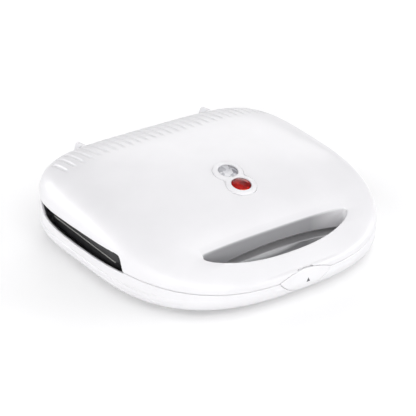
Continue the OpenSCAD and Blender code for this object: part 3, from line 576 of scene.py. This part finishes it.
white = finish_of("white_plastic", (0.79, 0.785, 0.80), (0.82, 0.815, 0.83), (0.38, 0.44),
                  spots=900.0, bump=0.03, depth=0.0001, coat=0.15, patches=28.0)
coating = finish_of("plate_coating", (0.012, 0.012, 0.013), (0.022, 0.022, 0.024), (0.32, 0.46),
                    spots=1500.0, bump=0.25, depth=0.0002, patches=180.0)
tube_steel = finish_of("tube_steel", (0.22, 0.18, 0.15), (0.36, 0.34, 0.33), (0.3, 0.5),
                       metallic=1.0, patches=60.0)
ceramic = finish_of("ceramic", (0.74, 0.70, 0.60), (0.82, 0.78, 0.68), (0.25, 0.4), patches=90.0)
moulding = finish_of("moulding", (0.62, 0.58, 0.46), (0.70, 0.66, 0.55), (0.5, 0.65),
                     spots=700.0, bump=0.15, patches=70.0)
spring = finish_of("spring_steel", (0.42, 0.42, 0.43), (0.55, 0.55, 0.56), (0.25, 0.4),
                   metallic=1.0, stretch=(1, 12, 1))
shield = finish_of("shield_aluminium", (0.66, 0.67, 0.69), (0.78, 0.79, 0.80), (0.22, 0.38),
                   metallic=1.0, stretch=(8, 1, 1))
zinc = finish_of("zinc_steel", (0.50, 0.50, 0.49), (0.62, 0.62, 0.60), (0.25, 0.42),
                 metallic=1.0, patches=120.0)
switch = finish_of("switch_body", (0.02, 0.018, 0.016), (0.04, 0.036, 0.032), (0.45, 0.6))
brass = finish_of("screw_brass", (0.55, 0.38, 0.12), (0.68, 0.50, 0.18), (0.25, 0.4), metallic=1.0)
rubber = finish_of("foot_rubber", (0.52, 0.52, 0.50), (0.60, 0.60, 0.58), (0.6, 0.8),
                   spots=1200.0, bump=0.3, depth=0.0002)
sleeve = finish_of("wire_sleeve", (0.70, 0.66, 0.58), (0.80, 0.77, 0.70), (0.7, 0.85),
                   spots=1600.0, bump=0.5, depth=0.0002)
glow = finish_of("lamp_glass", (0.85, 0.55, 0.35), (0.95, 0.70, 0.50), (0.1, 0.2), coat=0.5)

USED = {
    white: ["lid_shell", "base_shell", "latch_button", "latch_hook", "light_bezel", "handle_cover",
            "hinge_arms", "lead_gland"],
    coating: ["lower_plate", "upper_plate"],
    tube_steel: ["lower_heating_element", "upper_heating_element"],
    ceramic: ["lower_element_insulators", "upper_element_insulators"],
    moulding: ["terminal_block", "lamp_holder"],
    spring: ["lower_element_clips", "upper_element_clips"],
    shield: ["lower_heat_shield", "upper_heat_shield"],
    zinc: ["lower_plate_screws", "upper_plate_screws", "lamp_holder_screws", "handle_cover_screws",
           "hinge_arm_screws", "hinge_pins", "thermal_fuse"],
    switch: ["thermostat"],
    brass: ["terminal_block_screws"],
    rubber: ["feet"],
    sleeve: ["base_wires", "lid_wires"],
    glow: ["neon_lamps"],
}
for mat, names in USED.items():
    for name in names:
        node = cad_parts[name]
        node.data.materials.clear()
        node.data.materials.append(mat)


def maths(nodes, links, op, *values):
    """Links or sets the values of a math node; MULTIPLY_ADD clamps its result to 0 to 1."""
    m = nodes.new("ShaderNodeMath")
    m.operation = op
    m.use_clamp = op == "MULTIPLY_ADD"
    for socket, value in zip(m.inputs, values):
        if isinstance(value, (int, float)):
            socket.default_value = value
        else:
            links.new(value, socket)
    return m.outputs[0]


def tint_where(mat, mask, colour):
    """Mixes colour into the material's own colour where mask, made from place and normal, is 1."""
    nodes, links = mat.node_tree.nodes, mat.node_tree.links
    shader = nodes["Principled BSDF"]
    place, facing = nodes.new("ShaderNodeSeparateXYZ"), nodes.new("ShaderNodeSeparateXYZ")
    links.new(nodes.new("ShaderNodeTexCoord").outputs["Object"], place.inputs[0])
    links.new(nodes.new("ShaderNodeNewGeometry").outputs["Normal"], facing.inputs[0])

    def do(op, *values):
        return maths(nodes, links, op, *values)

    mix = nodes.new("ShaderNodeMix")
    mix.data_type = "RGBA"
    links.new(mask(do, place.outputs, facing.outputs), mix.inputs["Factor"])
    links.new(shader.inputs["Base Color"].links[0].from_socket, mix.inputs[6])
    mix.inputs[7].default_value = (*colour, 1.0)
    links.new(mix.outputs[2], shader.inputs["Base Color"])


def painted_rim_highlight(do, place, facing):
    """The outer rims of the plates are painted lighter grey within half a millimetre of where they
    meet, a painted highlight along the line between them.
    """
    off = do("ABSOLUTE", do("SUBTRACT", place["Z"], PLATE_Z / 1000))
    side = do("GREATER_THAN", do("ABSOLUTE", place["X"]), 0.1128)
    return do("MULTIPLY", do("LESS_THAN", off, 0.0005), side)


def painted_shade_finger_wall(do, place, facing):
    """The wall behind the fingers is painted darker grey, as painted shade of the recess."""
    front = do("MULTIPLY_ADD", facing["Y"], -3.0, -1.5)
    ahead = do("MULTIPLY_ADD", place["Y"], -1000.0, -72.0)
    behind = do("MULTIPLY_ADD", place["Y"], 1000.0, 83.0)
    across = do("LESS_THAN", do("ABSOLUTE", place["X"]), 0.068)
    inside = do("MULTIPLY", across, do("MULTIPLY_ADD", place["X"], -25.0, 1.85))
    return do("MULTIPLY", do("MULTIPLY", front, inside), do("MULTIPLY", ahead, behind))


# painted highlight: a lighter grey line on the black plates where they meet
tint_where(coating, painted_rim_highlight, (0.42, 0.42, 0.40))
# painted shade: a darker grey on the front-facing wall behind the finger opening
tint_where(white, painted_shade_finger_wall, (0.30, 0.30, 0.31))


def dress(obj, mat, body, slot, *nodes):
    obj.data.materials.clear()
    obj.data.materials.append(mat)
    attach(obj, body)
    if nodes:
        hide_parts(*nodes)
    return obj


# ---------------------------------------------------------------- shells
GRID = 0.8
# field, corners of its grid in mm, grid step, share of the faces kept, body and replaced node
SHELLS = {
    "lid_skin": (lid_field, (-124, -120, 18), (124, 117, 73), GRID, 0.42, "lid", "lid_shell"),
    "base_skin": (base_field, (-124, -120, 2), (124, 122, 30), GRID, 0.45, "base", "base_shell"),
    "latch_face": (latch_field, (-26, -119, 6), (26, -110, 28), 0.45, 1.0, "latch",
                   "latch_button"),
    "light_surround": (bezel_field, (-14, -50, 48), (14, 0, 74), 0.5, 1.0, "lid", "light_bezel"),
}
for name, (field, low, high, step, keep, body, node) in SHELLS.items():
    shell = from_field(name, field, low, high, step, keep)
    dress(shell, white, body, "white_plastic", node)


# ---------------------------------------------------------------- lenses
def point_on_light(a, b, w):
    c, s = math.cos(LIGHT_SLOPE), math.sin(LIGHT_SLOPE)
    return Vector((a, LIGHTS_Y + b * c - w * s, LIGHT_Z + b * s + w * c)) / 1000


def jewel(name, side):
    """A faceted dome lens on its flange, in the frame of the lights."""
    mesh = bpy.data.meshes.new(name)
    bm = bmesh.new()
    rings = [(LENS_R + 0.7, -3.2), (LENS_R + 0.7, -2.7), (LENS_R, -2.6), (LENS_R, 0.3)]
    levels = [(LENS_R * 0.84, 1.0, 0.5), (LENS_R * 0.56, 1.5, 0.0), (LENS_R * 0.28, 1.75, 0.5)]

    def point(r, turn, h):
        return point_on_light(r * math.cos(turn), r * math.sin(turn) + side * LIGHTS_PITCH / 2, h)

    made = [[bm.verts.new(point(r, 2 * math.pi * i / 48, h)) for i in range(48)]
            for r, h in rings]
    bm.faces.new(made[0][::-1])
    for low, high in zip(made, made[1:]):
        for i in range(48):
            j = (i + 1) % 48
            bm.faces.new((low[i], low[j], high[j], high[i]))
    facets = [[bm.verts.new(point(r, 2 * math.pi * (i + t) / 12, h)) for i in range(12)]
              for r, h, t in levels]
    rim = made[-1]
    for i in range(12):
        j = (i + 1) % 12
        part = [rim[(4 * i + k) % 48] for k in range(5)]
        bm.faces.new((*part, facets[0][i]))
        bm.faces.new((rim[4 * j % 48], facets[0][j], facets[0][i]))
        bm.faces.new((facets[0][i], facets[0][j], facets[1][j]))
        bm.faces.new((facets[0][i], facets[1][j], facets[1][i]))
        bm.faces.new((facets[1][i], facets[1][j], facets[2][i]))
        bm.faces.new((facets[1][j], facets[2][j], facets[2][i]))
    bm.faces.new(facets[2])
    bmesh.ops.recalc_face_normals(bm, faces=bm.faces)
    bm.to_mesh(mesh)
    bm.free()
    obj = bpy.data.objects.new(name, mesh)
    scene.collection.objects.link(obj)
    return obj


def jewel_material(name, side, stops, through, cells):
    """Moulded facets seen through the lens, as cells of lighter and darker colour: painted glints
    and painted shade of the facets.
    """
    mat, nodes, links, shader = node_material(name)
    coords = nodes.new("ShaderNodeTexCoord")
    cell = nodes.new("ShaderNodeTexVoronoi")
    cell.inputs["Scale"].default_value = cells
    links.new(coords.outputs["Object"], cell.inputs["Vector"])
    grey = nodes.new("ShaderNodeSeparateColor")
    links.new(cell.outputs["Color"], grey.inputs["Color"])
    # the lens is painted darker towards its back right rim, where it sees the deep side of its
    # hole, and lighter towards its front left: painted shade and light
    shift = nodes.new("ShaderNodeMapping")
    middle = point_on_light(0, side * LIGHTS_PITCH / 2, 0)
    shift.inputs["Location"].default_value = -middle
    links.new(coords.outputs["Object"], shift.inputs["Vector"])
    across = nodes.new("ShaderNodeVectorMath")
    across.operation = "DOT_PRODUCT"
    across.inputs[1].default_value = (70.0, 55.0, 0.0)
    links.new(shift.outputs["Vector"], across.inputs[0])
    shade = to_range(nodes, links, across.outputs["Value"], 0.62, -0.22, -0.7, 0.7)
    both = nodes.new("ShaderNodeMath")
    both.operation = "MULTIPLY_ADD"
    both.inputs[1].default_value = 0.55
    links.new(grey.outputs["Red"], both.inputs[0])
    links.new(shade.outputs["Result"], both.inputs[2])
    colour = ramp(nodes, links, both.outputs["Value"], stops)
    links.new(colour.outputs["Color"], shader.inputs["Base Color"])
    b = nodes.new("ShaderNodeBump")
    b.inputs["Strength"].default_value = 0.35
    b.inputs["Distance"].default_value = 0.0006
    links.new(cell.outputs["Distance"], b.inputs["Height"])
    links.new(b.outputs["Normal"], shader.inputs["Normal"])
    haze = noise(nodes, links, coords.outputs["Object"], 300.0)
    gloss = to_range(nodes, links, haze.outputs["Fac"], 0.06, 0.14)
    links.new(gloss.outputs["Result"], shader.inputs["Roughness"])
    shader.inputs["Transmission Weight"].default_value = through
    shader.inputs["IOR"].default_value = 1.49
    shader.inputs["Specular IOR Level"].default_value = 0.1
    shader.inputs["Coat Weight"].default_value = 0.1
    shader.inputs["Coat Roughness"].default_value = 0.04
    return mat


# each ramp runs from painted shade in its dark stops to painted glints in its bright stops, within
# one lens colour
RED = [(0.0, (0.10, 0.002, 0.002)), (0.35, (0.26, 0.002, 0.001)), (0.7, (0.52, 0.005, 0.002)),
       (1.0, (0.95, 0.12, 0.01))]
CLEAR = [(0.0, (0.10, 0.10, 0.12)), (0.3, (0.40, 0.40, 0.43)), (0.7, (0.66, 0.66, 0.69)),
         (1.0, (0.88, 0.88, 0.90))]
red = jewel_material("red_lens", -1, RED, 0.1, 300.0)
clear = jewel_material("clear_lens", 1, CLEAR, 0.15, 260.0)
dress(jewel("front_jewel", -1), red, "lid", "red_lens", "power_lens")
dress(jewel("rear_jewel", 1), clear, "lid", "clear_lens", "ready_lens")


# ---------------------------------------------------------------- printed arrow on the latch
def arrow():
    """A thin printed triangle that lies on the face of the latch."""
    rows, x0, z0, half, tall = 8, 2.4, 14.6, 1.7, 3.4
    grid, points, faces = {}, [], []
    for layer, sink in enumerate((0.10, -0.05)):
        for r in range(rows + 1):
            for c in range(r + 1):
                x = x0 + half * (2 * c - r) / rows
                z = z0 + tall * (1 - r / rows)
                ys = np.linspace(-118.5, -110.0, 400)
                skin = np.maximum(dome(np.full(400, x), ys, np.full(400, z)),
                                  flank(np.full(400, x), ys, np.full(400, z)))
                grid[layer, r, c] = len(points)
                points.append((x, float(np.interp(0, -skin, ys)) - sink, z))
    for r in range(rows):
        for c in range(r + 1):
            for layer in (0, 1):
                a, b, d = grid[layer, r, c], grid[layer, r + 1, c], grid[layer, r + 1, c + 1]
                faces.append((a, b, d) if layer == 0 else (a, d, b))
                if c < r:
                    e = grid[layer, r, c + 1]
                    faces.append((a, d, e) if layer == 0 else (a, e, d))
    edge = ([(r, 0) for r in range(rows)] + [(rows, c) for c in range(rows)]
            + [(r, r) for r in range(rows, 0, -1)])
    for (r, c), (r2, c2) in zip(edge, edge[1:] + edge[:1]):
        a, b = grid[0, r, c], grid[0, r2, c2]
        d, e = grid[1, r2, c2], grid[1, r, c]
        faces += [(a, d, b), (a, e, d)]
    return mesh_object("latch_arrow", np.array(points) / 1000, np.array(faces))


ink = finish_of("grey_print", (0.10, 0.10, 0.11), (0.14, 0.14, 0.15), (0.45, 0.6), spots=900.0,
                bump=0.1)
dress(arrow(), ink, "latch", "white_plastic")


# ---------------------------------------------------------------- stage and light
def floor_paint():
    """Matt white that glows a little, as seen, and turns white away from the object; close around
    the object the glow is lowered, a painted shadow.
    """
    mat, nodes, links, shader = node_material("floor_paint")
    shader.inputs["Base Color"].default_value = (0.82, 0.82, 0.82, 1.0)
    shader.inputs["Roughness"].default_value = 0.9
    shader.inputs["Specular IOR Level"].default_value = 0.1
    path = nodes.new("ShaderNodeLightPath")
    seen = path.outputs["Is Camera Ray"]
    for ray in ("Is Glossy Ray", "Is Transmission Ray"):
        seen = maths(nodes, links, "MAXIMUM", seen, path.outputs[ray])
    place = nodes.new("ShaderNodeTexCoord")
    off = nodes.new("ShaderNodeVectorMath")
    off.operation = "LENGTH"
    links.new(place.outputs["Object"], off.inputs[0])
    far = to_range(nodes, links, off.outputs["Value"], 0.265, 0.85, 0.5, 3.0)
    # painted shadow: less glow within 0.2 m of the middle, so the floor around the object reads
    # darker
    near = to_range(nodes, links, off.outputs["Value"], -0.08, 0.0, 0.11, 0.20)
    strength = maths(nodes, links, "ADD", far.outputs["Result"], near.outputs["Result"])
    strength = maths(nodes, links, "MULTIPLY", seen, strength)
    shine = nodes.new("ShaderNodeEmission")
    links.new(strength, shine.inputs["Strength"])
    both = nodes.new("ShaderNodeAddShader")
    links.new(shader.outputs[0], both.inputs[0])
    links.new(shine.outputs[0], both.inputs[1])
    links.new(both.outputs[0], nodes["Material Output"].inputs["Surface"])
    return mat


def add_floor(half):
    mesh = bpy.data.meshes.new("floor")
    corners = [(-half, -half, 0.0), (half, -half, 0.0), (half, half, 0.0), (-half, half, 0.0)]
    mesh.from_pydata(corners, [], [(0, 1, 2, 3)])
    floor = bpy.data.objects.new("floor", mesh)
    scene.collection.objects.link(floor)
    floor.data.materials.append(floor_paint())


def add_world():
    """A dim sky that looks white by itself and through the lenses, and half white in gloss."""
    world = bpy.data.worlds.new("studio")
    world.use_nodes = True
    scene.world = world
    nodes, links = world.node_tree.nodes, world.node_tree.links
    dim = nodes["Background"]
    dim.inputs["Color"].default_value = (0.96, 0.945, 1.0, 1.0)
    dim.inputs["Strength"].default_value = 0.18
    bright = nodes.new("ShaderNodeBackground")
    bright.inputs["Color"].default_value = (1, 1, 1, 1)
    bright.inputs["Strength"].default_value = 1.0
    ray = nodes.new("ShaderNodeLightPath").outputs
    gloss = maths(nodes, links, "MULTIPLY", ray["Is Glossy Ray"], 0.45)
    shown = maths(nodes, links, "MAXIMUM", ray["Is Camera Ray"], ray["Is Transmission Ray"])
    shown = maths(nodes, links, "MAXIMUM", shown, gloss)
    mix = nodes.new("ShaderNodeMixShader")
    links.new(shown, mix.inputs["Fac"])
    links.new(dim.outputs[0], mix.inputs[1])
    links.new(bright.outputs[0], mix.inputs[2])
    links.new(mix.outputs[0], nodes["World Output"].inputs["Surface"])


# azimuth from the camera's side and height in degrees, width and height in metres, watts
LAMPS = {
    "front_left": (345, 13, 1.4, 0.7, 19.5),
    "front_high": (20, 45, 1.2, 1.0, 9.0),
    "right_low": (95, 16, 1.4, 0.8, 17.7),
    "right_high": (90, 70, 1.2, 1.2, 6.6),
    "back_low": (175, 24, 1.2, 0.7, 5.8),
    "back_high": (180, 48, 1.2, 1.0, 3.9),
    "left_low": (255, 14, 1.4, 0.8, 15.5),
    "left_strip": (305, 72, 0.30, 0.07, 0.9),
}
LAMPS_AROUND, LAMPS_AWAY = Vector((0, 0, 0.03)), 1.9


def add_lamp(name, around, high, wide, tall, power):
    turn = math.atan2(away.y, away.x) + math.radians(around)
    high = math.radians(high)
    data = bpy.data.lights.new(name, "AREA")
    data.shape = "RECTANGLE"
    data.size, data.size_y, data.energy = wide, tall, power
    lamp = bpy.data.objects.new(name, data)
    side = Vector((math.cos(turn) * math.cos(high), math.sin(turn) * math.cos(high),
                   math.sin(high)))
    lamp.location = LAMPS_AROUND + side * LAMPS_AWAY
    lamp.rotation_euler = (-side).to_track_quat("-Z", "Y").to_euler()
    scene.collection.objects.link(lamp)


add_floor(20.0)
add_world()
for name, lamp in LAMPS.items():
    add_lamp(name, *lamp)
scene.view_settings.view_transform = "Standard"
